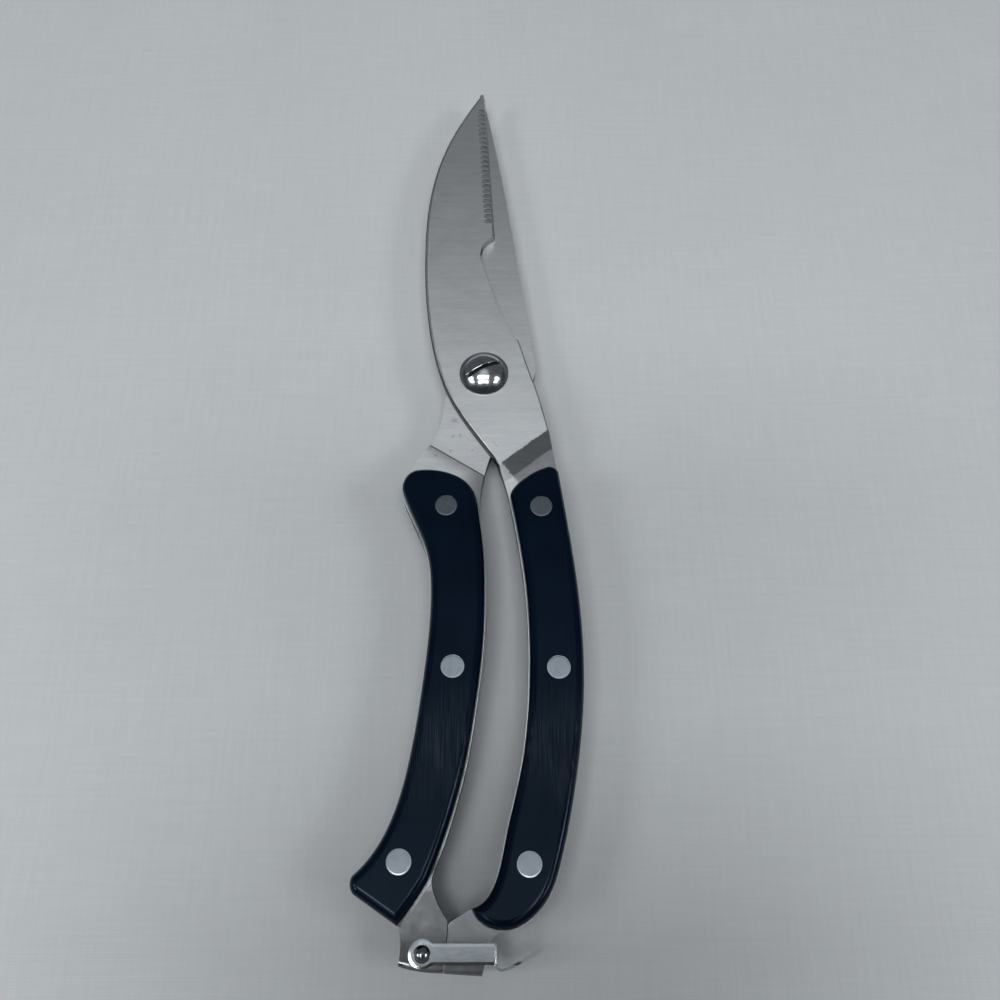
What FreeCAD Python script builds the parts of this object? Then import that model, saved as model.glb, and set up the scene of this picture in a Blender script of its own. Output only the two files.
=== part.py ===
import FreeCAD, Part
import math
import os

from FreeCAD import Placement, Rotation, Vector

# Poultry shears lying closed and latched on a table, in millimetres.
# +Y runs from the handles to the tip, +X to the right, +Z up. The origin is the
# bottom centre of the bounding box. Everything is first laid out about the pivot
# axis, with height 0 at the plane where the two blades slide on each other, and
# each sub-part's Placement then carries it to the origin described above.

DOC = FreeCAD.newDocument("PoultryShears")
DIM = DOC.addObject("Spreadsheet::Sheet", "Dimensions")

DIMENSIONS = [
    ("pivot_offset_x", 2.05), ("pivot_offset_y", 23.05), ("half_height", 7.0),
    ("plate_thick", 3.0), ("tip_thick", 2.0), ("tang_thick", 3.0), ("lap_gap", 0.02),
    ("taper_start", 8.0), ("taper_end", 104.0), ("ramp_angle", 71.5),
    ("spine_round", 0.8), ("bolster_round", 0.4), ("step_round", 0.35),
    ("bevel_width", 0.85), ("bevel_land", 0.2), ("bevel_run", 80.0),
    ("groove_pitch", 1.9), ("groove_radius", 0.85), ("groove_slope", 38.0),
    ("groove_reach", 2.0), ("groove_run", 12.0),
    ("scale_thick", 5.5), ("scale_round", 2.0), ("scale_corner", 2.3), ("scale_inset", 0.15),
    ("rivet_head_radius", 2.8), ("rivet_head_thick", 1.5), ("rivet_shank_radius", 1.8),
    ("rivet_pin_radius", 1.2), ("rivet_recess", 0.05),
    ("screw_head_radius", 6.7), ("screw_head_rise", 3.9), ("screw_rim", 0.4),
    ("screw_shank_radius", 3.0), ("screw_clearance", 0.04), ("screw_seat_gap", 0.05),
    ("screw_thread_radius", 2.5), ("slot_width", 1.15), ("slot_depth", 1.8), ("slot_angle", 26.8),
    ("slot_round", 0.15),
    ("nut_radius", 6.2), ("nut_thick", 2.2), ("washer_radius", 5.6), ("washer_thick", 0.5),
    ("spring_wire", 0.9), ("spring_radius", 4.4), ("spring_turns", 2.25),
    ("spring_pitch", 0.936), ("spring_leg", 4.2), ("spring_angle", 135.0),
    ("slot_to_wire", 1.4), ("spring_pocket_radius", 5.4), ("spring_pocket_depth", 1.7),
    ("latch_x", -12.5), ("latch_y", -145.5), ("latch_sheet", 0.6), ("latch_inner", 1.9),
    ("latch_width", 4.2), ("latch_reach", 15.7), ("latch_eye_radius", 3.0),
    ("latch_bend", 0.5),
    ("latch_pin_radius", 1.0), ("latch_pin_clearance", 0.04),
    ("latch_head_radius", 1.85), ("latch_head_rise", 1.2), ("latch_head_gap", 0.05),
    ("tab_height", 4.6), ("tang_end_round", 1.2),
]
for row, (alias, number) in enumerate(DIMENSIONS, start=1):
    DIM.set(f"A{row}", alias)
    DIM.set(f"B{row}", str(number))
    DIM.setAlias(f"B{row}", alias)
DOC.recompute()


def size(alias):
    return float(DIM.get(alias))


def bind(thing, prop, expression):
    """Tie a property to the sheet: names of dimensions are written with a leading $."""
    thing.setExpression(prop, expression.replace("$", "Dimensions."))


SHEARS_AT = Vector(size("pivot_offset_x"), size("pivot_offset_y"), size("half_height"))
UPRIGHT = Placement(SHEARS_AT, Rotation())
# A sub-part drawn for the top side serves underneath when it is turned about +Y.
TURNED_OVER = Placement(SHEARS_AT, Rotation(Vector(0, 1, 0), 180))


def new_body(name, placement=UPRIGHT):
    body = DOC.addObject("PartDesign::Body", name)
    body.Label = name
    body.Placement = placement
    return body


def plane_of(body, role):
    return next(f for f in body.Origin.OriginFeatures if f.Role == role)


def new_sketch(body, name, at=None, role="XY_Plane"):
    """A sketch on one of the body's own origin planes, moved there by at."""
    sketch = body.newObject("Sketcher::SketchObject", name)
    sketch.AttachmentSupport = [(plane_of(body, role), "")]
    sketch.MapMode = "FlatFace"
    sketch.AttachmentOffset = at or Placement()
    return sketch


def flat(point):
    return Vector(point[0], point[1], 0)


def draw(sketch, pieces):
    """Add an outline. Each piece starts where the last one ended: two points are a
    straight line, three an arc, and more a smooth curve through all of them."""
    for points in pieces:
        corners = [flat(p) for p in points]
        if len(corners) == 2:
            sketch.addGeometry(Part.LineSegment(*corners), False)
        elif len(corners) == 3:
            sketch.addGeometry(Part.Arc(*corners), False)
        else:
            curve = Part.BSplineCurve()
            curve.interpolate(corners)
            sketch.addGeometry(curve, False)


def polygon(points):
    return [list(pair) for pair in zip(points, points[1:] + points[:1])]


def circle(sketch, centre, radius):
    sketch.addGeometry(Part.Circle(flat(centre), Vector(0, 0, 1), radius), False)


def pad(body, sketch, length):
    feature = body.newObject("PartDesign::Pad", sketch.Name + "_pad")
    feature.Profile = sketch
    bind(feature, "Length", length)
    sketch.Visibility = False
    DOC.recompute()
    return feature


def pocket(body, sketch, depth=None, upward=False):
    """Cut a sketch down into the body, or up when upward, all the way with no depth."""
    before = body.Shape.Volume
    feature = body.newObject("PartDesign::Pocket", sketch.Name + "_cut")
    feature.Profile = sketch
    feature.Reversed = upward
    if depth is None:
        feature.Type = "ThroughAll"
    else:
        bind(feature, "Length", depth)
    DOC.recompute()
    if body.Shape.Volume > before - 1e-3:
        raise RuntimeError(f"{sketch.Name} removes nothing")
    return feature


def at_height(height):
    return Placement(Vector(0, 0, height), Rotation())


def revolve(body, sketch, angle=360):
    feature = body.newObject("PartDesign::Revolution", sketch.Name + "_turned")
    feature.Profile = sketch
    feature.ReferenceAxis = (sketch, ["V_Axis"])
    feature.Angle = angle
    DOC.recompute()
    return feature


def fillet(body, base, radius, wanted):
    """Round the edges of base for which wanted(edge) is true."""
    names = [f"Edge{i}" for i, edge in enumerate(base.Shape.Edges, start=1) if wanted(edge)]
    feature = body.newObject("PartDesign::Fillet", base.Name + "_rounded")
    feature.Base = (base, names)
    bind(feature, "Radius", radius)
    base.Visibility = False
    DOC.recompute()
    return feature


def lies_at(edge, height):
    return all(abs(vertex.Z - height) < 1e-4 for vertex in edge.Vertexes)


# ---------------------------------------------------------------- outlines, from above

RIGHT_OUTER = [(19.5, -29.0), (20.9, -39.0), (22.8, -53.0), (24.2, -67.0), (24.7, -81.0),
               (23.9, -96.0), (21.8, -110.5), (18.1, -127.0), (15.6, -133.6), (11.8, -138.2),
               (6.3, -140.9)]
RIGHT_INNER = [(-2.0, -136.4), (1.0, -134.7), (3.5, -130.3), (5.6, -121.5), (8.8, -108.0),
               (10.9, -93.0), (11.4, -81.0), (11.0, -66.0), (9.1, -50.0), (6.9, -37.8)]
LEFT_OUTER = [(-28.3, -129.6), (-23.4, -124.0), (-19.6, -116.0), (-16.6, -104.0),
              (-14.0, -85.0), (-12.8, -65.0), (-14.4, -52.5), (-18.6, -42.5), (-20.9, -36.5)]
LEFT_INNER = [(0.1, -50.0), (0.8, -64.0), (0.3, -79.0), (-1.2, -92.0), (-3.4, -105.5),
              (-6.5, -117.5), (-9.2, -125.5)]
LEFT_HEEL = [[(-18.0, -140.1), (-27.9, -133.7)],
             [(-27.9, -133.7), (-28.8, -131.4), (-28.3, -129.6)]]

UPPER_EDGE = [(2.9, 47.6), (-0.3, 102.6)]
UPPER_OUTLINE = [
    UPPER_EDGE,
    [(-0.3, 102.6), (-1.2, 103.8), (-2.0, 103.1)],
    [(-2.0, 103.1), (-6.4, 95.0), (-12.7, 80.0), (-16.8, 60.0), (-17.5, 42.0), (-16.2, 20.0),
     (-13.5, 5.0), (-10.2, -5.0), (-4.6, -15.0), (2.4, -25.0)],
    [(2.4, -25.0), (4.75, -30.0)] + RIGHT_INNER[::-1],
    [(-2.0, -136.4), (-6.35, -138.95)],
    [(-6.35, -138.95), (-6.75, -139.25), (-6.95, -139.7)],
    [(-6.95, -139.7), (-7.75, -149.4)],
    [(-7.75, -149.4), (0.5, -149.9)],
    [(0.5, -149.9), (1.9, -144.4)],
    [(1.9, -144.4), (3.2, -142.1), (6.3, -140.9)],
    RIGHT_OUTER[::-1],
    [(19.5, -29.0), (18.9, -25.5), (18.0, -20.2), (16.9, -15.0), (15.7, -10.0), (14.4, -5.0),
     (12.2, 1.8), (10.6, 7.5), (9.6, 10.8)],
    [(9.6, 10.8), (8.0, 12.5)],
    [(8.0, 12.5), (6.3, 16.0), (3.0, 24.6), (0.3, 33.5), (-1.1, 38.6)],
    [(-1.1, 38.6), (-0.9, 43.3), (2.9, 47.6)],
]

LOWER_EDGE = [(-5.0, 32.0), (-1.5, 102.0)]
LOWER_OUTLINE = [
    LOWER_EDGE,
    [(-1.5, 102.0), (-1.1, 102.9), (-0.6, 102.2)],
    [(-0.6, 102.2), (3.3, 81.0), (6.5, 61.0), (9.0, 43.0), (11.2, 27.0), (12.9, 14.5),
     (14.2, 5.0)],
    [(14.2, 5.0), (14.2, 2.4), (13.2, -1.0)],
    [(13.2, -1.0), (8.2, -13.2), (1.65, -24.4)],
    [(1.65, -24.4), (0.3, -29.3), (-0.75, -36.0), (-0.8, -42.0)] + LEFT_INNER
    + [(-10.9, -130.8), (-10.1, -134.0), (-7.4, -138.6)],
    [(-7.4, -138.6), (-7.2, -139.1), (-7.15, -139.7)],
    [(-7.15, -139.7), (-7.95, -149.3)],
    [(-7.95, -149.3), (-13.0, -149.0), (-17.8, -148.0)],
    [(-17.8, -148.0), (-17.35, -144.0), (-18.0, -140.1)],
    *LEFT_HEEL,
    LEFT_OUTER + [(-20.6, -32.5), (-19.2, -28.6), (-17.0, -24.9), (-14.35, -21.0),
                  (-12.75, -17.1), (-11.5, -12.8), (-10.8, -7.5), (-10.2, -2.0), (-9.2, 7.0),
                  (-7.2, 20.0), (-5.0, 32.0)],
]

RIGHT_SCALE = [
    RIGHT_OUTER + [(2.6, -140.6), (-0.2, -139.2), (-2.0, -136.4)],
    RIGHT_INNER,
    [(6.9, -37.8), (7.6, -35.9), (9.8, -33.5), (13.5, -30.9), (16.9, -29.5), (19.5, -29.0)],
]
LEFT_SCALE = [
    LEFT_OUTER,
    [(-20.9, -36.5), (-20.6, -33.4), (-18.9, -31.2), (-15.0, -30.3), (-9.0, -31.2),
     (-4.2, -33.9), (-1.7, -38.0), (-0.9, -42.5)] + LEFT_INNER + [(-11.4, -131.0)],
    [(-11.4, -131.0), (-14.3, -135.5), (-18.0, -140.1)],
    *LEFT_HEEL,
]

RIGHT_RIVETS = [(14.9, -41.5), (18.4, -83.3), (10.9, -127.5)]
LEFT_RIVETS = [(-9.33, -41.3), (-6.9, -83.1), (-17.9, -127.0)]
# Two lines across each blade, in its own view, both reaching past its sides: the step
# under the bolster, and the top of the ramp that leads down from the face to the tang.
LAP_STEP = [(-18.0, -41.35), (32.0, -9.9)]
RAMP_TOP = [(-16.0, -43.65), (60.0, 16.7)]


def turned(points):
    return [(-x, y) for x, y in points]


def turned_outline(pieces):
    return [turned(points) for points in pieces]


# ---------------------------------------------------------------- blades with their tangs

PLATE = size("plate_thick")
HALF_TANG = size("tang_thick") / 2
LAP = size("lap_gap")
TAPER = (PLATE - size("tip_thick")) / (size("taper_end") - size("taper_start"))
FAR = 200.0
CLEAR = 1.0


def cut_lap(body):
    """Under the bolster and blade only the upper plate is left, down to the sliding plane."""
    left, right = LAP_STEP
    sketch = new_sketch(body, body.Label + "_lap", at_height(-HALF_TANG))
    draw(sketch, polygon([left, right, (right[0], FAR), (-FAR, FAR), (-FAR, left[1])]))
    pocket(body, sketch, "$tang_thick / 2 + $lap_gap", upward=True)
    fillet(body, body.Tip, "$step_round", is_lap_step)


def is_lap_step(edge):
    """The lower edge of the step, the only straight one at that height in front."""
    ahead = LAP_STEP[0][1]
    straight = isinstance(edge.Curve, Part.Line)
    return straight and lies_at(edge, -HALF_TANG) and edge.BoundBox.YMin > ahead


def cut_ramp(body):
    """The bolster slopes from the blade's face down to the tang, under the scale."""
    sketch = new_sketch(body, body.Label + "_ramp", at_height(PLATE))
    left, right = RAMP_TOP
    draw(sketch, polygon([left, right, (right[0], -FAR), (-FAR, -FAR), (-FAR, left[1])]))
    feature = pocket(body, sketch, "$plate_thick - $tang_thick / 2")
    bind(feature, "TaperAngle", "-$ramp_angle")
    DOC.recompute()


def cut_taper(body):
    """Thin the blade evenly towards its tip, and a little beyond it."""
    start, end = size("taper_start"), size("taper_end") + 6 * CLEAR
    drop = TAPER * (end - start)
    sketch = new_sketch(body, body.Label + "_taper", at_height(FAR), role="YZ_Plane")
    draw(sketch, polygon([(start, PLATE), (end, PLATE - drop), (end, PLATE + CLEAR),
                          (start, PLATE + CLEAR)]))
    pocket(body, sketch)


def edge_frame(edge, height):
    """Origin at the start of the cutting edge, X along it, Y out of the blade, Z up."""
    (x0, y0), (x1, y1) = edge
    along = Vector(x1 - x0, y1 - y0, 0).normalize()
    outward = Vector(along.y, -along.x, 0)
    return Vector(x0, y0, height), along, outward


def cut_bevel(body, edge, lead):
    """Grind the cutting edge: a steep face from a narrow land up to the blade's face."""
    start, along, outward = edge_frame(edge, 0)
    up = Vector(0, 0, 1)
    place = Placement(start - along * lead, Rotation(outward, up, -along, "ZXY"))
    sketch = new_sketch(body, body.Label + "_bevel", place)
    land, width = LAP + size("bevel_land"), size("bevel_width")
    draw(sketch, polygon([(0.0, land), (-width, PLATE), (-width, PLATE + CLEAR),
                          (CLEAR, PLATE + CLEAR), (CLEAR, land)]))
    pocket(body, sketch, "$bevel_run")


def cut_grooves(body, edge, first, last):
    """Fine serrations: round grooves that run down the face and out through the bevel."""
    start, along, outward = edge_frame(edge, 0)
    slope = math.radians(size("groove_slope"))
    along = Vector(along.x, along.y, -TAPER).normalize()
    axis = outward * math.cos(slope) - Vector(0, 0, math.sin(slope))
    axis = (axis - along * axis.dot(along)).normalize()
    side = axis.cross(along)
    inward = size("bevel_width") + size("groove_reach")
    top = PLATE - TAPER * (start.y + first - size("taper_start"))
    bottom = start + along * first - outward * inward
    centre = Vector(bottom.x, bottom.y, top) + side * size("groove_radius")
    place = Placement(centre, Rotation(along, side, axis, "ZXY"))
    sketch = new_sketch(body, body.Label + "_groove", place)
    circle(sketch, (0.0, 0.0), size("groove_radius"))
    pocket(body, sketch, "$groove_run", upward=True)
    groove = body.Tip
    count = int((last - first) / size("groove_pitch")) + 1
    pattern = body.newObject("PartDesign::LinearPattern", body.Label + "_grooves")
    pattern.Originals = [groove]
    pattern.Direction = (sketch, ["H_Axis"])
    pattern.Occurrences = count
    bind(pattern, "Length", f"$groove_pitch * {count - 1}")
    body.Tip = pattern
    DOC.recompute()


def spring_seat(at_start):
    """Outline of the spring's pocket: round for the coil, with a slot for one leg, which
    leaves the coil as a tangent, backwards at the coil's start and onwards at its end."""
    angle = size("spring_angle") + (0 if at_start else 360 * size("spring_turns"))
    way = -1 if at_start else 1
    radius, well = size("spring_radius"), size("spring_pocket_radius")
    half = size("slot_to_wire") * size("spring_wire") / 2
    near, far = radius - half, radius + half
    near_y, far_y = (way * math.sqrt(well ** 2 - x ** 2) for x in (near, far))
    reach = way * (size("spring_leg") + half)
    outline = [[(far, far_y), (far, reach)], [(far, reach), (near, reach)],
               [(near, reach), (near, near_y)], [(near, near_y), (-well, 0), (far, far_y)]]
    turn = Rotation(Vector(0, 0, 1), angle)
    return [[tuple(turn.multVec(flat(point)))[:2] for point in points] for points in outline]


def cut_pivot(body, bore, seat):
    """Bore for the screw, and the pocket in the sliding face that holds the spring."""
    hole = new_sketch(body, body.Label + "_bore", at_height(PLATE + CLEAR))
    circle(hole, (0.0, 0.0), bore)
    pocket(body, hole)
    well = new_sketch(body, body.Label + "_spring_well", at_height(LAP))
    draw(well, seat)
    pocket(body, well, "$spring_pocket_depth", upward=True)


def drill(body, centres, radius, name):
    sketch = new_sketch(body, f"{body.Label}_{name}", at_height(HALF_TANG + CLEAR))
    for centre in centres:
        circle(sketch, centre, radius)
    pocket(body, sketch)


def blade(name, placement, outline, edge, rivets, bore, seat, lead):
    body = new_body(name, placement)
    sketch = new_sketch(body, name + "_outline", at_height(-HALF_TANG))
    draw(sketch, outline)
    pad(body, sketch, "$plate_thick + $tang_thick / 2")
    cut_lap(body)
    cut_ramp(body)
    fillet(body, body.Tip, "$tang_end_round", is_tang_end)
    cut_taper(body)
    cut_bevel(body, edge, lead)
    cut_pivot(body, bore, seat)
    drill(body, rivets, size("rivet_shank_radius"), "rivet_holes")
    return body


def is_tang_end(edge):
    level = lies_at(edge, HALF_TANG) or lies_at(edge, -HALF_TANG)
    return level and edge.BoundBox.YMax < -147.5


def is_face_edge(edge):
    """An edge along the blade, at the height of its face."""
    box = edge.BoundBox
    return box.ZMin > PLATE - TAPER * FAR / 2 and box.YLength > CLEAR


def is_spine(edge):
    return is_face_edge(edge) and edge.BoundBox.XMin < -10.0 and edge.Length > 20.0


def is_bolster_side(edge):
    return is_face_edge(edge) and edge.BoundBox.XMin > 8.0 and edge.BoundBox.YMin < 10.0


upper = blade("upper_blade", UPRIGHT, UPPER_OUTLINE, UPPER_EDGE, RIGHT_RIVETS,
              size("screw_shank_radius") + size("screw_clearance"),
              spring_seat(at_start=False), lead=3.0)
fillet(upper, upper.Tip, "$spine_round", is_spine)
fillet(upper, upper.Tip, "$bolster_round", is_bolster_side)
cut_grooves(upper, UPPER_EDGE, first=5.6, last=50.0)

lower = blade("lower_blade", TURNED_OVER, turned_outline(LOWER_OUTLINE), turned(LOWER_EDGE),
              turned(LEFT_RIVETS), size("screw_shank_radius"),
              turned_outline(spring_seat(at_start=True)), lead=0.0)
drill(lower, turned([(size("latch_x"), size("latch_y"))]), size("latch_pin_radius"),
      "latch_hole")


# ---------------------------------------------------------------- handle scales and rivets

def inset(pieces, distance):
    """Move every point of a closed outline inwards, square to its neighbours' chord."""
    loop = [point for points in pieces for point in points[:-1]]
    signed = sum(x0 * y1 - x1 * y0 for (x0, y0), (x1, y1) in zip(loop, loop[1:] + loop[:1]))
    turn = math.copysign(1.0, signed)
    moved = {}
    for i, (x, y) in enumerate(loop):
        (x0, y0), (x1, y1) = loop[i - 1], loop[(i + 1) % len(loop)]
        chord = math.hypot(x1 - x0, y1 - y0)
        shift_x, shift_y = -turn * (y1 - y0) / chord, turn * (x1 - x0) / chord
        moved[(x, y)] = (x + distance * shift_x, y + distance * shift_y)
    return [[moved[point] for point in points] for points in pieces]


def is_front_corner(edge):
    """The upright edge where the right scale's front meets its outer side."""
    box = edge.BoundBox
    return box.ZLength > 1.0 and box.YMin > -37.0 and abs(box.XMin) > 18.0


def scale(name, placement, outline, rivets, sharp_front):
    """One handle scale: flat on the tang, its outer edge well rounded, counterbored."""
    thick = size("scale_thick")
    body = new_body(name, placement)
    sketch = new_sketch(body, name + "_outline", at_height(HALF_TANG))
    draw(sketch, inset(outline, size("scale_inset")))
    slab = pad(body, sketch, "$scale_thick")
    if sharp_front:
        slab = fillet(body, slab, "$scale_corner", is_front_corner)
    fillet(body, slab, "$scale_round", lambda e: lies_at(e, HALF_TANG + thick))
    seats = new_sketch(body, name + "_rivet_seats", at_height(HALF_TANG + thick))
    holes = new_sketch(body, name + "_rivet_holes", at_height(HALF_TANG + thick + CLEAR))
    for centre in rivets:
        circle(seats, centre, size("rivet_head_radius"))
        circle(holes, centre, size("rivet_shank_radius"))
    pocket(body, seats, "$rivet_head_thick + $rivet_recess")
    pocket(body, holes)
    return body


def turned_profile(name, placement, profile):
    """A round piece: a closed half profile of (radius, height) corners about the Z axis."""
    body = new_body(name, placement)
    sketch = new_sketch(body, name + "_profile", role="XZ_Plane")
    draw(sketch, polygon(profile))
    revolve(body, sketch)
    return body


def standing(x, y):
    return Placement(SHEARS_AT + Vector(x, y, 0), Rotation())


def rivet(name, x, y):
    """A two-piece rivet: the stud's pin sits in the socket's tube."""
    head, tube, pin = (size(f"rivet_{part}_radius") for part in ("head", "shank", "pin"))
    face = HALF_TANG + size("scale_thick") - size("rivet_recess")
    seat = face - size("rivet_head_thick")
    gap = 0.2
    stud = turned_profile(name + "_stud", standing(x, y), [
        (0, -seat + gap), (pin, -seat + gap), (pin, seat), (head, seat), (head, face),
        (0, face)])
    socket = turned_profile(name + "_socket", standing(x, y), [
        (0, -face), (head, -face), (head, -seat), (tube, -seat), (tube, seat - gap),
        (pin, seat - gap), (pin, -seat), (0, -seat)])
    return [stud, socket]


pieces = [upper, lower]
for side, outline, rivets in (("right", RIGHT_SCALE, RIGHT_RIVETS),
                              ("left", LEFT_SCALE, LEFT_RIVETS)):
    sharp = side == "right"
    pieces.append(scale(side + "_top_scale", UPRIGHT, outline, rivets, sharp))
    pieces.append(scale(side + "_bottom_scale", TURNED_OVER, turned_outline(outline),
                        turned(rivets), sharp))
    for number, (x, y) in enumerate(rivets, start=1):
        pieces += rivet(f"{side}_rivet_{number}", x, y)


# ---------------------------------------------------------------- pivot

def bulge(rim_radius, rim, apex):
    """The middle point of the arc that rises from a head's rim to its apex."""
    rise = apex - rim
    radius = (rim_radius ** 2 + rise ** 2) / (2 * rise)
    half = math.asin(rim_radius / radius) / 2
    return radius * math.sin(half), apex - radius * (1 - math.cos(half))


def pivot_screw():
    body = new_body("pivot_screw")
    seat = PLATE + size("screw_seat_gap")
    rim, apex = seat + size("screw_rim"), seat + size("screw_head_rise")
    head, shank = size("screw_head_radius"), size("screw_shank_radius")
    thread = size("screw_thread_radius")
    shoulder = -PLATE - size("washer_thick")
    end = shoulder - size("nut_thick")
    profile = new_sketch(body, "screw_profile", role="XZ_Plane")
    draw(profile, [[(0.0, apex), (0.0, end)], [(0.0, end), (thread, end)],
                   [(thread, end), (thread, shoulder)], [(thread, shoulder), (shank, shoulder)],
                   [(shank, shoulder), (shank, seat)], [(shank, seat), (head, seat)],
                   [(head, seat), (head, rim)],
                   [(head, rim), bulge(head, rim, apex), (0.0, apex)]])
    revolve(body, profile)
    turn = Rotation(Vector(0, 0, 1), size("slot_angle"))
    slot = new_sketch(body, "screw_slot", Placement(Vector(0, 0, apex + CLEAR), turn))
    half_width, long = size("slot_width") / 2, size("screw_head_radius") + CLEAR
    draw(slot, polygon([(-long, -half_width), (long, -half_width), (long, half_width),
                        (-long, half_width)]))
    pocket(body, slot, f"$slot_depth + {CLEAR}")
    fillet(body, body.Tip, "$slot_round", lambda e: is_slot_rim(e, apex))
    return body


def is_slot_rim(edge, apex):
    """The two long edges where the slot's walls meet the dome."""
    return edge.Length > size("screw_head_radius") and edge.BoundBox.ZMax > apex - 0.1


def pivot_nut():
    body = new_body("pivot_nut")
    sketch = new_sketch(body, "nut_hexagon", at_height(-PLATE - size("washer_thick")))
    corners = [(size("nut_radius") * math.cos(math.radians(60 * i)),
                size("nut_radius") * math.sin(math.radians(60 * i))) for i in range(6)]
    draw(sketch, polygon(corners))
    circle(sketch, (0.0, 0.0), size("screw_thread_radius"))
    block = pad(body, sketch, "$nut_thick")
    block.Reversed = True
    DOC.recompute()
    return body


def washer():
    top, bottom = -PLATE, -PLATE - size("washer_thick")
    inner, outer = size("screw_shank_radius") + 0.1, size("washer_radius")
    return turned_profile("pivot_washer", UPRIGHT, [
        (inner, bottom), (outer, bottom), (outer, top), (inner, top)])


def spring():
    """A torsion coil about the screw, its two legs leaving the coil as tangents."""
    wire, radius, pitch = (size(f"spring_{part}") for part in ("wire", "radius", "pitch"))
    rise = pitch * size("spring_turns")
    coil = Part.makeHelix(pitch, rise, radius).Edges[0]
    first, last = coil.ParameterRange
    leg = size("spring_leg")
    start, along = coil.valueAt(first), coil.tangentAt(first)
    finish, onward = coil.valueAt(last), coil.tangentAt(last)
    path = Part.Wire([Part.makeLine(start - along * leg, start), coil,
                      Part.makeLine(finish, finish + onward * leg)])
    section = Part.Wire(Part.Circle(start - along * leg, along, wire / 2).toShape())
    sweep = Part.BRepOffsetAPI.MakePipeShell(path)
    sweep.setBiNormalMode(Vector(0, 0, 1))
    sweep.add(section)
    sweep.build()
    sweep.makeSolid()
    thing = DOC.addObject("Part::Feature", "pivot_spring")
    thing.Label = "pivot_spring"
    thing.Shape = sweep.shape()
    thing.Placement = Placement(SHEARS_AT - Vector(0, 0, rise / 2),
                                Rotation(Vector(0, 0, 1), size("spring_angle")))
    return thing


pieces += [pivot_screw(), pivot_nut(), washer(), spring()]


# ---------------------------------------------------------------- closing latch

LATCH = (size("latch_x"), size("latch_y"))
TAB = [[(3.2, -147.4), (3.75, -148.55), (5.0, -148.9)],
       [(5.0, -148.9), (8.1, -147.8), (10.9, -145.6)],
       [(10.9, -145.6), (10.55, -145.15)],
       [(10.55, -145.15), (7.85, -147.25), (5.0, -148.3)],
       [(5.0, -148.3), (4.1, -148.0), (3.8, -147.4)],
       [(3.8, -147.4), (3.2, -147.4)]]


def latch_loop():
    """A folded strip: an eye over and under the tang, a web beyond it, and a thumb tab."""
    x, y = LATCH
    inner, web = size("latch_inner"), x + size("latch_reach")
    outer, half = inner + size("latch_sheet"), size("latch_width") / 2
    body = new_body("latch_loop")
    place = Placement(Vector(0, 0, -(y + half)), Rotation())
    strip = new_sketch(body, "latch_strip", place, role="XZ_Plane")
    end = web + size("latch_sheet")
    draw(strip, polygon([(x, inner), (web, inner), (web, -inner), (x, -inner), (x, -outer),
                         (end, -outer), (end, outer), (x, outer)]))
    folded = pad(body, strip, "$latch_width")
    fillet(body, folded, "$latch_bend", lambda e: is_outer_fold(e, end))
    for height in (inner, -outer):
        eye = new_sketch(body, f"latch_eye_{'top' if height > 0 else 'bottom'}",
                         at_height(height))
        circle(eye, LATCH, size("latch_eye_radius"))
        pad(body, eye, "$latch_sheet")
    tab = new_sketch(body, "latch_tab", at_height(-size("tab_height") / 2))
    draw(tab, TAB)
    pad(body, tab, "$tab_height")
    hole = new_sketch(body, "latch_eye_hole", at_height(outer + CLEAR))
    circle(hole, LATCH, size("latch_pin_radius") + size("latch_pin_clearance"))
    pocket(body, hole)
    return body


def is_outer_fold(edge, end):
    """The two long outside edges where the strip is folded over."""
    box = edge.BoundBox
    return box.YLength > 1.0 and abs(box.XMin - end) < 0.01 and abs(box.XMax - end) < 0.01


def latch_rivet():
    body = new_body("latch_rivet", standing(*LATCH))
    sketch = new_sketch(body, "latch_rivet_profile", role="XZ_Plane")
    head, pin = size("latch_head_radius"), size("latch_pin_radius")
    seat = size("latch_inner") + size("latch_sheet") + size("latch_head_gap")
    apex = seat + size("latch_head_rise")
    across, up = bulge(head, seat, apex)
    draw(sketch, [[(0.0, -apex), (0.0, apex)], [(0.0, apex), (across, up), (head, seat)],
                  [(head, seat), (pin, seat)], [(pin, seat), (pin, -seat)],
                  [(pin, -seat), (head, -seat)], [(head, -seat), (across, -up), (0.0, -apex)]])
    revolve(body, sketch)
    return body


pieces += [latch_loop(), latch_rivet()]


# ---------------------------------------------------------------- checks and files

DOC.recompute()
for thing in DOC.Objects:
    if "Invalid" in thing.State or "Error" in thing.State:
        raise RuntimeError(f"{thing.Name} is {thing.State}")
for piece in pieces:
    if piece.Shape.isNull() or not piece.Shape.isValid() or len(piece.Shape.Solids) != 1:
        raise RuntimeError(f"{piece.Label} is not one valid solid")

os.makedirs("parts", exist_ok=True)
for piece in pieces:
    piece.Shape.exportStep(f"parts/{piece.Label}.step")
whole = Part.makeCompound([piece.Shape for piece in pieces]).optimalBoundingBox(True, False)
print(f"{len(pieces)} pieces, X {whole.XMin:.3f} {whole.XMax:.3f}, "
      f"Y {whole.YMin:.3f} {whole.YMax:.3f}, Z {whole.ZMin:.3f} {whole.ZMax:.3f}")
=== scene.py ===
"""Looks for the poultry shears: brushed steel blades, dark plastic scales, polished pivot."""
import math

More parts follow.
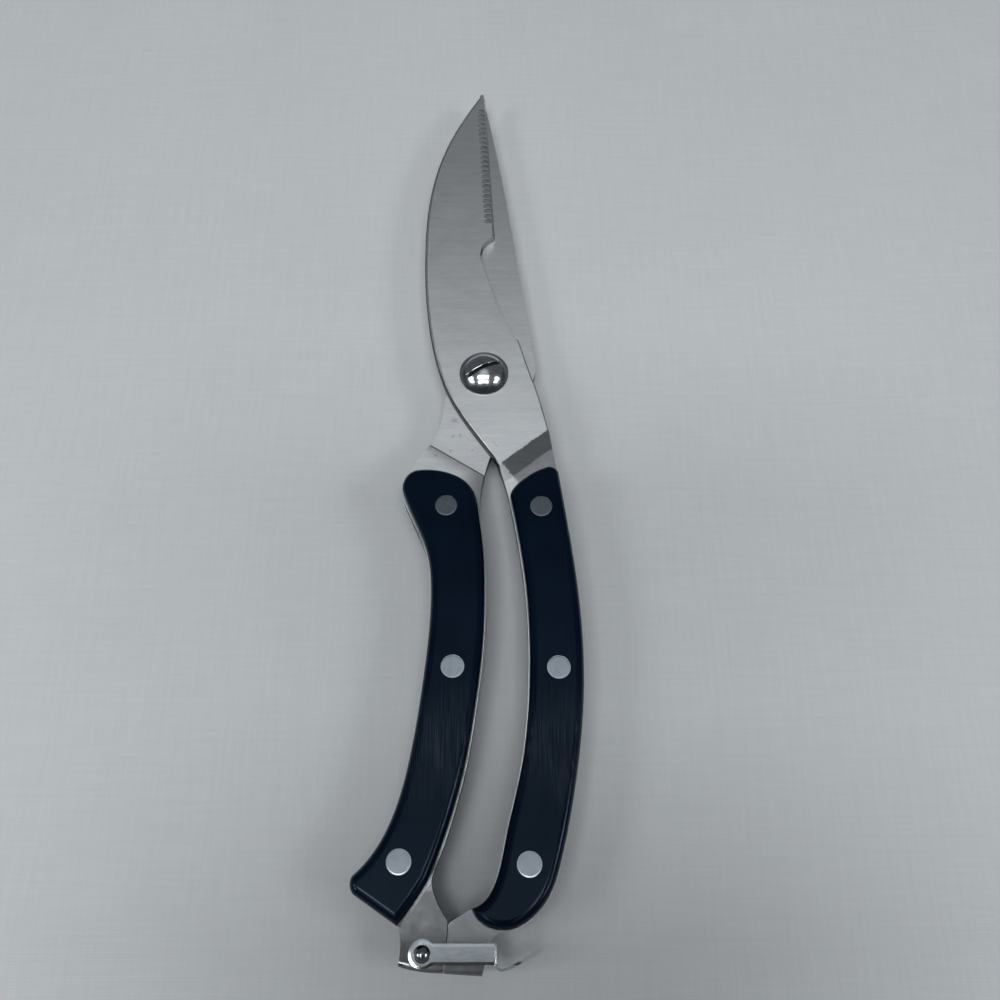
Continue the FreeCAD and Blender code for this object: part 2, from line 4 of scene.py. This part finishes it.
import bpy
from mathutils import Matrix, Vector


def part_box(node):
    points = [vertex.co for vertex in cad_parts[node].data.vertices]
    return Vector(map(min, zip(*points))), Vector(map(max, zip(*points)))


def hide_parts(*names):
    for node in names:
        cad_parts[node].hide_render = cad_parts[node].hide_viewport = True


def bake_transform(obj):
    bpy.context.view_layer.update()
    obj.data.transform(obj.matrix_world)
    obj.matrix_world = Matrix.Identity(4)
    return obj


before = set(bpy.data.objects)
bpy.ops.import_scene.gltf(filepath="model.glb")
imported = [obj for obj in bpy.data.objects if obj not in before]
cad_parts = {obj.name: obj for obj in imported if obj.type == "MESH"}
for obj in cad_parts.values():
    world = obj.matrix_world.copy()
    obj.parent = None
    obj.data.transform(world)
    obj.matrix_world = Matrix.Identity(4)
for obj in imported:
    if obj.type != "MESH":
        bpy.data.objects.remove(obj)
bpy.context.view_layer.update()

MM = 0.001
# The pivot axis in the row frame, in millimetres: feature places below count from it.
PIVOT = (2.05, 23.05)

# Lines on the blades, each from one point to another. The ramp down to the tang lies
# between the first two, and left of the third it stays brushed.
RAMP = ((-16.0, -43.65), (60.0, 16.7))
RAMP_FOOT = ((-16.0, -49.35), (60.0, 11.0))
BRUSHED_STRIP = ((10.0, -33.0), (4.6, -27.0))
# The step below the lower blade's bolster, and how wide the painted shade line along it is.
STEP = ((-14.35, -21.0), (0.35, -30.25))
STEP_LINE_WIDTH = 1.3
# Right of this line the serrated edge is freshly ground and gets no painted edge shade.
GROUND_EDGE = ((-0.6, 40.0), (-3.6, 102.6))

# Pairs of levels along Y, between which a look changes evenly.
# Levels for the blades' painted shade, bright at the bolster and dull towards the tip.
BOLSTER_TO_TIP = (-18.0, 75.0)
SERRATION_START = (36.0, 40.0)
# Levels for painted shade on the lower blade: on its bolster, and where the shade below its
# step fades in.
LOWER_BOLSTER = (-34.0, -14.0)
TANG_START = (-60.0, -50.0)
# Levels over which the tang's bare end, polished and with painted shade, begins.
BARE_TANG = (-133.0, -128.0)
# Levels over which the painted edge shade fades out towards the tang's very end.
EDGE_SHADE_START = (-146.5, -145.5)
TANG_ROUND_END = (-148.2, -147.2)
# The stretch of the grips that use has rubbed: its two soft ends, upper and lower.
RUBBED_UPPER = (-98.0, -84.0)
RUBBED_LOWER = (-118.0, -106.0)

# The latch loop's round eye and the straight strip that leaves it.
LATCH_EYE = (-12.5, -145.5)
LATCH_EYE_RADIUS = 3.0
LATCH_STRIP_HALF_WIDTH = 2.1
LATCH_MELT = 0.8

# The slot across the pivot screw's head.
SLOT_WIDTH = 1.15
SLOT_TURN = 26.8

# How rough polished steel is, the painted shade on steep blade edges, and the colours of the
# steels, plastic and cloth.
POLISHED_ROUGHNESS = 0.13
EDGE_SHADE_COLOUR = (0.022, 0.027, 0.036)
BLADE_TINT = (0.945, 0.965, 0.99)
LATCH_TINT = (0.90, 0.93, 0.97)
NUT_TINT = (0.42, 0.43, 0.45)
SPRING_TINT = (0.30, 0.30, 0.32)
SCREW_TINT = (0.90, 0.93, 0.96)
LATCH_RIVET_TINT = (0.55, 0.57, 0.60)
RIVET_TINT = (0.56, 0.60, 0.645)
# Painted light and shade: a brightness factor on each rivet's colour, for how brightly each
# one reflects the room.
RIVET_PAINTED_TONES = (1.08, 1.35, 0.80)
PLASTIC = ((0.0010, 0.0050, 0.0140), (0.0020, 0.0072, 0.0190))
PLASTIC_RUBBED = (0.036, 0.044, 0.056)
PLASTIC_SPECK = (0.09, 0.10, 0.12)
PLASTIC_SHEEN = (0.62, 0.80, 1.0, 1.0)
CLOTH = ((0.680, 0.694, 0.706), (0.745, 0.758, 0.770))

# Lines per millimetre along each axis, for steel brushed across and for the latch loop.
BLADE_GRAIN = (0.35, 3.4, 3.4)
LATCH_GRAIN = (0.7, 1.6, 0.7)
# Stains on the lower bolster as (x, y, radius, how much longer), and two short scratches
# on the upper blade, each from a point to a point with a width.
SMUDGES = [(-8.0, -13.0, 1.2, 0.7), (-8.3, -17.8, 0.6), (-6.3, -17.5, 0.5, 1.8),
           (-8.8, -22.3, 0.5), (-12.8, -24.3, 0.5), (-3.0, -22.0, 0.4)]
NICKS = [((2.3, -20.8), (3.2, -21.6), 0.35), ((3.0, -21.9), (3.9, -22.5), 0.35)]


# ---------------------------------------------------------------- node building

class Nodes:
    """A node tree. Each method adds nodes to it and returns an output socket."""

    def __init__(self, tree):
        self.tree = tree

    def put(self, socket, value):
        """Link another node's output to a socket, or else set a plain value there."""
        if isinstance(value, bpy.types.NodeSocket):
            self.tree.links.new(value, socket)
        else:
            socket.default_value = value

    def math(self, operation, a, b=0.0, c=0.0):
        node = self.tree.nodes.new("ShaderNodeMath")
        node.operation = operation
        for socket, value in zip(node.inputs, (a, b, c)):
            self.put(socket, value)
        return node.outputs[0]

    def chain(self, operation, values):
        total = values[0]
        for value in values[1:]:
            total = self.math(operation, total, value)
        return total

    def add(self, *values):
        return self.chain("ADD", values)

    def times(self, *values):
        return self.chain("MULTIPLY", values)

    def strongest(self, *values):
        return self.chain("MAXIMUM", values)

    def inverse(self, share):
        """What is left of 1."""
        return self.math("SUBTRACT", 1.0, share)

    def distance(self, dx, dy):
        return self.math("SQRT", self.add(self.times(dx, dx), self.times(dy, dy)))

    def split(self, vector):
        node = self.tree.nodes.new("ShaderNodeSeparateXYZ")
        self.put(node.inputs[0], vector)
        return node.outputs

    def spread(self, value, low, high, start=0.0, end=1.0, smooth=True):
        """Map low..high of value onto start..end, clamped."""
        node = self.tree.nodes.new("ShaderNodeMapRange")
        node.interpolation_type = "SMOOTHSTEP" if smooth else "LINEAR"
        for name, number in (("Value", value), ("From Min", low), ("From Max", high),
                             ("To Min", start), ("To Max", end)):
            self.put(node.inputs[name], number)
        return node.outputs["Result"]

    def mix(self, share, a, b):
        """Blend colours a and b by share."""
        node = self.tree.nodes.new("ShaderNodeMix")
        node.data_type = "RGBA"
        self.put(node.inputs["Factor"], share)
        for name, value in (("A", a), ("B", b)):
            socket = next(s for s in node.inputs if s.name == name and s.type == "RGBA")
            self.put(socket, value if isinstance(value, bpy.types.NodeSocket)
                     else (*value, 1.0))
        return next(s for s in node.outputs if s.type == "RGBA")


class Look(Nodes):
    """One node material, whose places are in millimetres in the row frame."""

    def __init__(self, name):
        self.material = bpy.data.materials.new(name)
        self.material.use_nodes = True
        super().__init__(self.material.node_tree)
        self.tree.nodes.clear()
        self.shader = self.tree.nodes.new("ShaderNodeBsdfPrincipled")
        output = self.tree.nodes.new("ShaderNodeOutputMaterial")
        self.put(output.inputs["Surface"], self.shader.outputs["BSDF"])
        place = self.tree.nodes.new("ShaderNodeTexCoord")
        self.at = self.scale(place.outputs["Object"], (1 / MM,) * 3)

    def set(self, **values):
        for name, value in values.items():
            self.put(self.shader.inputs[name.replace("_", " ")], value)

    def scale(self, vector, factors):
        node = self.tree.nodes.new("ShaderNodeVectorMath")
        node.operation = "MULTIPLY"
        self.put(node.inputs[0], vector)
        self.put(node.inputs[1], factors)
        return node.outputs[0]

    def join(self, value):
        """The same value in all three channels."""
        node = self.tree.nodes.new("ShaderNodeCombineXYZ")
        for socket in node.inputs:
            self.put(socket, value)
        return node.outputs[0]

    def turn(self, vector, degrees):
        node = self.tree.nodes.new("ShaderNodeVectorRotate")
        node.rotation_type = "Z_AXIS"
        self.put(node.inputs["Vector"], vector)
        self.put(node.inputs["Angle"], math.radians(degrees))
        return node.outputs[0]

    def noise(self, per_mm, detail=3.0, rough=0.55, at=None, shift=0.0):
        """Noise from 0 to 1; per_mm is one frequency or one for each axis."""
        each = per_mm if isinstance(per_mm, tuple) else (per_mm,) * 3
        node = self.tree.nodes.new("ShaderNodeTexNoise")
        node.noise_dimensions = "4D"
        self.put(node.inputs["Vector"], self.scale(at or self.at, each))
        self.put(node.inputs["W"], shift)
        self.put(node.inputs["Scale"], 1.0)
        self.put(node.inputs["Detail"], detail)
        self.put(node.inputs["Roughness"], rough)
        return node.outputs["Fac"]

    def bump(self, height, distance_mm):
        node = self.tree.nodes.new("ShaderNodeBump")
        self.put(node.inputs["Height"], height)
        self.put(node.inputs["Distance"], distance_mm * MM)
        self.put(node.inputs["Strength"], 1.0)
        self.set(Normal=node.outputs["Normal"])

    def from_place(self, x, y):
        """How far this place lies right of and beyond (x, y) in the row frame."""
        parts = self.split(self.at)
        return self.math("SUBTRACT", parts[0], x), self.math("SUBTRACT", parts[1], y)

    def from_point(self, x, y):
        """How far this place lies right of and beyond a point counted from the pivot."""
        return self.from_place(PIVOT[0] + x, PIVOT[1] + y)

    def from_line(self, start, end):
        """How far this place lies right of the line from start to end."""
        (x0, y0), (x1, y1) = start, end
        length = math.hypot(x1 - x0, y1 - y0)
        dx, dy = self.from_point(x0, y0)
        return self.add(self.times(dx, (y1 - y0) / length), self.times(dy, (x0 - x1) / length))

    def beside(self, line, soft=0.15, ragged=0.0):
        """1 right of a line, 0 left of it."""
        off = self.from_line(*line)
        if ragged:
            off = self.add(off, self.times(self.noise(1.1, 4.0, 0.7), ragged), -ragged / 2)
        return self.spread(off, -soft, soft)

    def along_y(self, levels, first, last):
        """Runs evenly from first at the lower of two levels to last at the upper."""
        return self.spread(self.from_point(0.0, 0.0)[1], *levels, first, last, smooth=False)

    def spot(self, x, y, radius, longer=1.0):
        """1 inside a mark at (x, y) from the pivot, 0 outside, with a ragged rim."""
        dx, dy = self.from_point(x, y)
        distance = self.distance(dx, self.times(dy, 1.0 / longer))
        ragged = self.add(distance, self.times(self.noise(2.6, 4.0, 0.7), radius * 2.0))
        return self.spread(ragged, radius * 2.1, radius * 1.2)

    def scratch_and_shade_line(self, start, end, width):
        """1 on a straight mark between two points counted from the pivot, 0 off it."""
        (x0, y0), (x1, y1) = start, end
        length = math.hypot(x1 - x0, y1 - y0)
        along_x, along_y = (x1 - x0) / length, (y1 - y0) / length
        dx, dy = self.from_point((x0 + x1) / 2, (y0 + y1) / 2)
        along = self.add(self.times(dx, along_x), self.times(dy, along_y))
        across = self.add(self.times(dx, -along_y), self.times(dy, along_x))
        inside = self.spread(self.math("ABSOLUTE", along), length * 0.5,
                             max(length * 0.35, length * 0.5 - 0.6))
        thin = self.spread(self.math("ABSOLUTE", across), width * 0.5, width * 0.2)
        return self.times(inside, thin)

    def facing_aside(self):
        """1 on walls and steep edges, 0 on faces that lie nearly flat."""
        node = self.tree.nodes.new("ShaderNodeNewGeometry")
        upright = self.math("ABSOLUTE", self.split(node.outputs["Normal"])[2])
        return self.spread(upright, 0.90, 0.62)


def toned(colour, factor):
    """A colour made darker or paler, with no channel above 1."""
    return tuple(min(1.0, channel * factor) for channel in colour)


# ---------------------------------------------------------------- materials

def steel(name, tint, grain, roughness, marks=(), scratches=(), wear=0.5, polish_and_painted_shade=None,
          anisotropy=0.0, sides=False, rim=None):
    """Ground steel: fine parallel lines across it, cloudy polish, small scratches, marks.
    grain gives the lines' frequency along each axis, per mm; finish(look) gives the share
    of full polish and a factor of painted shade on the colour; anisotropy draws highlights
    out across the lines; sides paints shade onto steep edges; rim(look) is how far a place
    lies outside a pressed sheet's outline, where its edge rolls off."""
    look = Look(name)
    polish, shade = polish_and_painted_shade(look) if polish_and_painted_shade else (0.0, 1.0)
    fine = look.noise(grain, 4.0, 0.7)
    broad = look.noise(tuple(lines * 0.22 for lines in grain), 2.0, 0.5, shift=3.0)
    cloud = look.noise(0.11, 3.0, 0.5, shift=7.0)
    hair = look.noise((2.4, 0.05, 2.4), 2.0, 0.4, look.turn(look.at, 31.0), 11.0)
    hair_lines = look.times(look.spread(hair, 0.66, 0.74), wear)
    dark = toned(tint, 0.88)
    lines = look.add(look.times(fine, 0.6), look.times(broad, 0.4))
    colour = look.mix(look.spread(lines, 0.32, 0.68), dark, toned(tint, 1.07))
    colour = look.mix(look.times(look.spread(cloud, 0.35, 0.75), 0.22), colour, dark)
    stain = [look.spot(*mark) for mark in marks] + [look.scratch_and_shade_line(*mark) for mark in scratches]
    if stain:
        colour = look.mix(look.times(look.strongest(*stain), 0.42), colour, toned(tint, 0.35))
    # Painted shade: steep edges are darkened for the dark room they reflect.
    if sides:
        colour = look.mix(painted_edge_shade(look), colour, EDGE_SHADE_COLOUR)
    rough = look.add(roughness - 0.06, look.times(fine, 0.07), look.times(cloud, 0.05),
                     look.times(hair_lines, -0.03))
    rough = look.add(rough, look.times(polish, POLISHED_ROUGHNESS - roughness))
    # The colour is scaled by the painted shade factor that comes with the polish.
    look.set(Base_Color=look.scale(colour, look.join(shade)), Metallic=1.0, Roughness=rough)
    if anisotropy:
        look.set(Anisotropic=anisotropy, Tangent=lengthwise(look))
    relief = look.add(fine, look.times(broad, 0.4), look.times(hair_lines, -1.2))
    if rim:
        relief = look.add(relief, look.spread(rim(look), -0.6, 0.1, 0.0, -15.0))
    look.bump(relief, 0.004)
    return look.material


def painted_edge_shade(look):
    """The share of painted shade on a blade's steep edges, none where they are freshly ground.
    """
    aside = look.times(look.facing_aside(), look.along_y(EDGE_SHADE_START, 0.0, 0.94))
    ground = look.times(look.beside(GROUND_EDGE), look.along_y(SERRATION_START, 0.0, 0.86))
    return look.times(aside, look.inverse(ground))


def lengthwise(look):
    """The direction along the tool, which turns with the blade it is on."""
    node = look.tree.nodes.new("ShaderNodeVectorTransform")
    node.vector_type = "VECTOR"
    node.convert_from, node.convert_to = "OBJECT", "WORLD"
    node.inputs[0].default_value = (0.0, 1.0, 0.0)
    return node.outputs[0]


def painted_blade_shade(look):
    """Painted light and shade: the colour is brightest at the bolster and duller to the tip.
    """
    return look.along_y(BOLSTER_TO_TIP, 1.0, 0.64)


def tang_end(look):
    """The bare end of a tang: polished, with mottled painted shade that dims its colour, and
    rougher on its rounded very end. Gives the share of full polish and a factor of painted
    shade on the colour."""
    bare = look.along_y(BARE_TANG, 1.0, 0.0)
    polish = look.times(bare, look.along_y(TANG_ROUND_END, 0.0, 1.0))
    mottled = look.spread(look.noise(0.35, 4.0, 0.6, shift=6.0), 0.3, 0.7, 0.30, 0.40)
    return polish, look.inverse(look.times(bare, look.inverse(mottled)))


def upper_polish_and_painted_shade(look):
    """The upper blade is polished on its ramp, less so at the foot, and on its tang's end. Its
    colour takes the painted shade along the blade and on the tang's end.
    """
    ramp = look.times(look.beside(RAMP, 0.3, 1.8), look.beside(BRUSHED_STRIP, 0.5, 2.2))
    foot = look.beside(RAMP_FOOT, 0.4, 1.0)
    polish = look.times(ramp, look.inverse(look.times(foot, 0.36)))
    end, end_shade = tang_end(look)
    return look.strongest(polish, end), look.times(painted_blade_shade(look), end_shade)


def lower_polish_and_painted_shade(look):
    """The lower blade is polished on its tang's end. Painted shade darkens it in a line along
    its step, below the step and more so to the right, and towards the tang on its bolster.
    """
    end, end_shade = tang_end(look)
    below = look.times(look.beside(STEP, 0.05), look.along_y(TANG_START, 0.0, 1.0))
    near = look.times(below, look.spread(look.from_line(*STEP), 4.0, 0.0))
    right = look.times(below, look.spread(look.from_point(-8.0, 0.0)[0], 0.0, 8.0))
    # Painted shade: a dark line along the step.
    line = look.scratch_and_shade_line(*STEP, STEP_LINE_WIDTH)
    darker = look.strongest(look.times(near, 0.42), look.times(right, 0.62),
                            look.times(line, 0.85))
    return end, look.times(painted_blade_shade(look), look.along_y(LOWER_BOLSTER, 0.80, 0.97),
                           end_shade, look.inverse(darker))


def latch_outline(look):
    """How far a place lies outside the latch loop's eye and strip, melted into one."""
    dx, dy = look.from_point(*LATCH_EYE)
    eye = look.add(look.distance(dx, dy), -LATCH_EYE_RADIUS)
    aside = look.add(look.math("ABSOLUTE", dy), -LATCH_STRIP_HALF_WIDTH)
    strip = look.strongest(aside, look.times(dx, -1.0))
    return look.math("SMOOTH_MIN", eye, strip, LATCH_MELT)


def plastic(name):
    """Moulded dark satin plastic, rubbed grey along the grip by use."""
    look = Look(name)
    y = look.split(look.at)[1]
    lines = look.noise((5.0, 0.07, 5.0), 4.0, 0.7)
    strokes = look.noise((1.6, 0.03, 1.6), 3.0, 0.6, look.turn(look.at, -8.0), 5.0)
    cloud = look.noise(0.09, 3.0, 0.5, shift=2.0)
    speck = look.noise(1.1, 2.0, 0.4, shift=9.0)
    upper_full, upper_end = (PIVOT[1] + level for level in RUBBED_UPPER)
    lower_end, lower_full = (PIVOT[1] + level for level in RUBBED_LOWER)
    rubbed = look.times(look.spread(y, upper_end, upper_full),
                        look.spread(y, lower_end, lower_full))
    rubbed = look.times(rubbed, look.spread(cloud, 0.3, 0.6, 0.55, 1.0))
    worn = look.times(look.spread(lines, 0.42, 0.7), look.add(look.times(rubbed, 0.95), 0.05))
    colour = look.mix(look.spread(cloud, 0.3, 0.7), *PLASTIC)
    colour = look.mix(worn, colour, PLASTIC_RUBBED)
    colour = look.mix(look.times(look.spread(speck, 0.76, 0.82), 0.30), colour, PLASTIC_SPECK)
    look.set(Base_Color=colour, IOR=1.5, Specular_IOR_Level=0.24, Specular_Tint=PLASTIC_SHEEN,
             Roughness=look.add(0.13, look.times(cloud, 0.05), look.times(worn, 0.12),
                                look.times(strokes, 0.04)))
    look.bump(look.add(look.times(lines, 0.55), look.times(strokes, 0.4),
                       look.times(speck, 0.3)), 0.010)
    return look.material


def slot_mask(look, dx, dy, inside):
    """1 in the slot across a screw's head, 0 outside it."""
    angle = math.radians(SLOT_TURN)
    across = look.add(look.times(dx, -math.sin(angle)), look.times(dy, math.cos(angle)))
    groove = look.spread(look.math("ABSOLUTE", across), SLOT_WIDTH / 2 + 0.03,
                         SLOT_WIDTH / 2 + 0.01)
    return look.times(groove, inside)


def polished(name, tint, centre, rim_mm, slotted=False):
    """Bright domed metal with fine wipe marks, dull in the crevice at its rim and in its slot,
    where painted shade also darkens its colour."""
    look = Look(name)
    dx, dy = look.from_place(*centre)
    out = look.distance(dx, dy)
    swirl = look.noise((0.35, 3.2, 1.0), 3.0, 0.6, look.turn(look.at, 40.0))
    cloud = look.noise(0.5, 3.0, 0.5, shift=4.0)
    # Painted shade in the crevice at the rim and in the slot.
    crevice = look.times(look.spread(out, rim_mm * 0.72, rim_mm * 0.82), 0.80)
    if slotted:
        inside = look.spread(out, rim_mm * 0.74, rim_mm * 0.66)
        crevice = look.strongest(crevice, slot_mask(look, dx, dy, inside))
    colour = look.mix(look.spread(cloud, 0.3, 0.7), tint, toned(tint, 0.84))
    colour = look.mix(crevice, colour, toned(tint, 0.12))
    look.set(Base_Color=colour, Metallic=1.0,
             Roughness=look.add(0.13, look.times(swirl, 0.06), look.times(crevice, 0.12)))
    look.bump(look.add(look.times(swirl, 0.5), cloud), 0.004)
    return look.material


def rivet_steel(name, tint, centre, rim_mm):
    """A flat ground rivet head: one-way lines and a slightly turned-over, smoother rim with a
    painted highlight.
    """
    look = Look(name)
    out = look.distance(*look.from_place(*centre))
    lines = look.noise((4.0, 0.25, 4.0), 4.0, 0.7)
    cloud = look.noise(0.45, 2.0, 0.5, shift=centre[0])
    rim = look.spread(out, rim_mm * 0.86, rim_mm * 0.97)
    colour = look.mix(look.spread(lines, 0.3, 0.7), toned(tint, 0.92), tint)
    colour = look.mix(look.times(look.spread(cloud, 0.4, 0.75), 0.3), colour, toned(tint, 0.6))
    # Painted highlight: the rim's colour is made paler.
    colour = look.mix(look.times(rim, 0.5), colour, toned(tint, 1.35))
    look.set(Base_Color=colour, Metallic=1.0,
             Roughness=look.add(0.15, look.times(lines, 0.06), look.times(rim, -0.05)))
    look.bump(look.add(look.times(lines, 0.5), look.times(rim, -1.0)), 0.012)
    return look.material


def cloth_floor(name):
    """A plain pale table covering with a barely visible weave."""
    look = Look(name)
    x, y = look.split(look.at)[:2]
    warp = look.math("SINE", look.times(x, 9.0))
    weft = look.math("SINE", look.times(y, 9.0))
    slub = look.noise((0.9, 0.05, 1.0), 3.0, 0.6)
    cross = look.noise((0.05, 0.9, 1.0), 3.0, 0.6, shift=3.0)
    cloud = look.noise(0.012, 2.0, 0.5, shift=5.0)
    tone = look.add(look.times(slub, 0.35), look.times(cross, 0.35), look.times(cloud, 0.3))
    look.set(Base_Color=look.mix(look.spread(tone, 0.3, 0.7), *CLOTH), Roughness=0.9)
    look.bump(look.add(look.times(warp, 0.2), look.times(weft, 0.2), slub, cross), 0.02)
    return look.material


def card_black(name):
    look = Look(name)
    look.set(Base_Color=(0.01, 0.01, 0.012, 1.0), Roughness=0.8)
    return look.material


# ---------------------------------------------------------------- materials on the parts

def wear_material(names, material):
    for name in names:
        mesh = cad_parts[name].data
        mesh.materials.clear()
        mesh.materials.append(material)


def centre_of(node):
    """The middle of a node's box as (x, y), and half its width, in millimetres."""
    low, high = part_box(node)
    middle = (low + high) / (2 * MM)
    return (middle.x, middle.y), (high.x - low.x) / (2 * MM)


def dress_blades():
    wear_material(["upper_blade"],
                  steel("upper_blade_steel", BLADE_TINT, BLADE_GRAIN, 0.37, scratches=NICKS,
                        anisotropy=0.75, polish_and_painted_shade=upper_polish_and_painted_shade, sides=True))
    wear_material(["lower_blade"],
                  steel("lower_blade_steel", BLADE_TINT, BLADE_GRAIN, 0.37, marks=SMUDGES,
                        anisotropy=0.75, polish_and_painted_shade=lower_polish_and_painted_shade, sides=True))


def dress_pivot():
    wear_material(["pivot_nut", "pivot_washer"],
                  steel("plain_steel", NUT_TINT, (1.2, 1.2, 1.2), 0.36))
    wear_material(["pivot_spring"], steel("spring_wire", SPRING_TINT, (1.5, 1.5, 1.5), 0.3))
    wear_material(["pivot_screw"], polished("screw_polish", SCREW_TINT,
                                            *centre_of("pivot_screw"), slotted=True))


def dress_latch():
    wear_material(["latch_loop"], steel("latch_steel", LATCH_TINT, LATCH_GRAIN, 0.13, wear=1.0,
                                        rim=latch_outline))
    wear_material(["latch_rivet"], polished("latch_rivet_polish", LATCH_RIVET_TINT,
                                            *centre_of("latch_rivet")))


def dress_handles():
    scales = [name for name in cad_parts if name.endswith("_scale")]
    wear_material(scales, plastic("scale_plastic"))
    for side in ("left", "right"):
        # Each rivet gets its own copy of the steel, painted lighter or darker.
        for number, tone in enumerate(RIVET_PAINTED_TONES, start=1):
            pair = [f"{side}_rivet_{number}_{part}" for part in ("stud", "socket")]
            wear_material(pair, rivet_steel(f"{side}_rivet_{number}_steel",
                                            toned(RIVET_TINT, tone), *centre_of(pair[0])))


def twisting_spring():
    """A copy of the coil, whose lower leg sits in one blade and upper leg in the other, shown
    in place of the hidden part.
    """
    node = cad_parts["pivot_spring"]
    mesh = node.data.copy()
    mesh.transform(node.matrix_world)
    coil = bpy.data.objects.new("twisting_spring", mesh)
    bpy.context.scene.collection.objects.link(coil)
    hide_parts("pivot_spring")
    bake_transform(coil)


dress_blades()
dress_pivot()
dress_latch()
dress_handles()
twisting_spring()


# ---------------------------------------------------------------- floor, light, camera

FLOOR_HALF = 2.5
CEILING = 1.6
PANEL = (1.2, 0.3)
PANEL_ROWS = (-0.33, -0.95)
PANEL_COLUMNS = (-2.2, -0.10, 2.2)
PANEL_WATTS = 8.5
PANEL_COLOUR = (0.955, 0.985, 1.0)
ROOM = (0.066, 0.072, 0.078)
PALE_CEILING = (0.36, 0.40, 0.43)
# Where the paler ceiling lies, as slopes from upright: its middle, half width and soft edge.
PALE_ACROSS = (0.0, 0.08, 0.34)
PALE_AWAY = (0.15, 0.04, 0.26)
LEAST_HEIGHT = 0.05
CARD_HALF_WIDTH, CARD_FROM, CARD_TO = 0.055, 0.009, 0.200
TILT = math.radians(24.13)
LENS_AT = Vector((0.00645, -0.12137, 0.2475))
LENS_MM = 36.07


def add_object(name, data):
    thing = bpy.data.objects.new(name, data)
    bpy.context.scene.collection.objects.link(thing)
    return thing


def add_sheet(name, corner_places, material):
    """A flat sheet with four corners."""
    mesh = bpy.data.meshes.new(name)
    mesh.from_pydata(corner_places, [], [(0, 1, 2, 3)])
    mesh.materials.append(material)
    return add_object(name, mesh)


def add_lights():
    """Two rows of soft panels under the ceiling, on the camera's side of the shears."""
    for row, away in enumerate(PANEL_ROWS):
        for column, across in enumerate(PANEL_COLUMNS):
            light = bpy.data.lights.new(f"ceiling_{row}_{column}", "AREA")
            light.shape = "RECTANGLE"
            light.size, light.size_y = PANEL
            light.energy = PANEL_WATTS
            light.color = PANEL_COLOUR
            add_object(light.name, light).location = (across, away, CEILING)


def band(room, value, middle, half, soft):
    """1 where value is within half of middle, falling to 0 over soft."""
    off = room.math("ABSOLUTE", room.math("SUBTRACT", value, middle))
    return room.spread(off, half + soft, half)


def add_room():
    """A dim room with one paler stretch of ceiling overhead, so that polished faces have
    something soft to reflect."""
    world = bpy.data.worlds.new("room")
    world.use_nodes = True
    room = Nodes(world.node_tree)
    where = room.tree.nodes.new("ShaderNodeTexCoord")
    x, y, z = room.split(where.outputs["Generated"])
    height = room.math("MAXIMUM", z, LEAST_HEIGHT)
    pale = room.times(band(room, room.math("DIVIDE", x, height), *PALE_ACROSS),
                      band(room, room.math("DIVIDE", y, height), *PALE_AWAY))
    background = room.tree.nodes["Background"]
    room.put(background.inputs["Color"], room.mix(pale, ROOM, PALE_CEILING))
    bpy.context.scene.world = world


def add_card():
    """An unseen dark card beside the lens, which stands for whoever holds the camera."""
    down = Vector((0.0, -math.cos(TILT), -math.sin(TILT)))
    card = add_sheet(
        "card",
        [LENS_AT + down * reach + Vector((side * CARD_HALF_WIDTH, 0.0, 0.0))
         for reach, side in ((CARD_FROM, -1), (CARD_FROM, 1), (CARD_TO, 1), (CARD_TO, -1))],
        card_black("card_black"))
    card.visible_camera = False
    return card


def add_camera():
    data = bpy.data.cameras.new("camera")
    data.sensor_width = 36.0
    data.lens = LENS_MM
    data.clip_start = 0.01
    camera = add_object("camera", data)
    camera.location = LENS_AT
    camera.rotation_euler = (TILT, 0.0, 0.0)
    bpy.context.scene.camera = camera
    bpy.context.scene.view_settings.view_transform = "Standard"


floor = add_sheet("floor", [(x * FLOOR_HALF, y * FLOOR_HALF, 0)
                            for x, y in ((-1, -1), (1, -1), (1, 1), (-1, 1))],
                  cloth_floor("floor_cloth"))
add_lights()
add_room()
card = add_card()
add_camera()
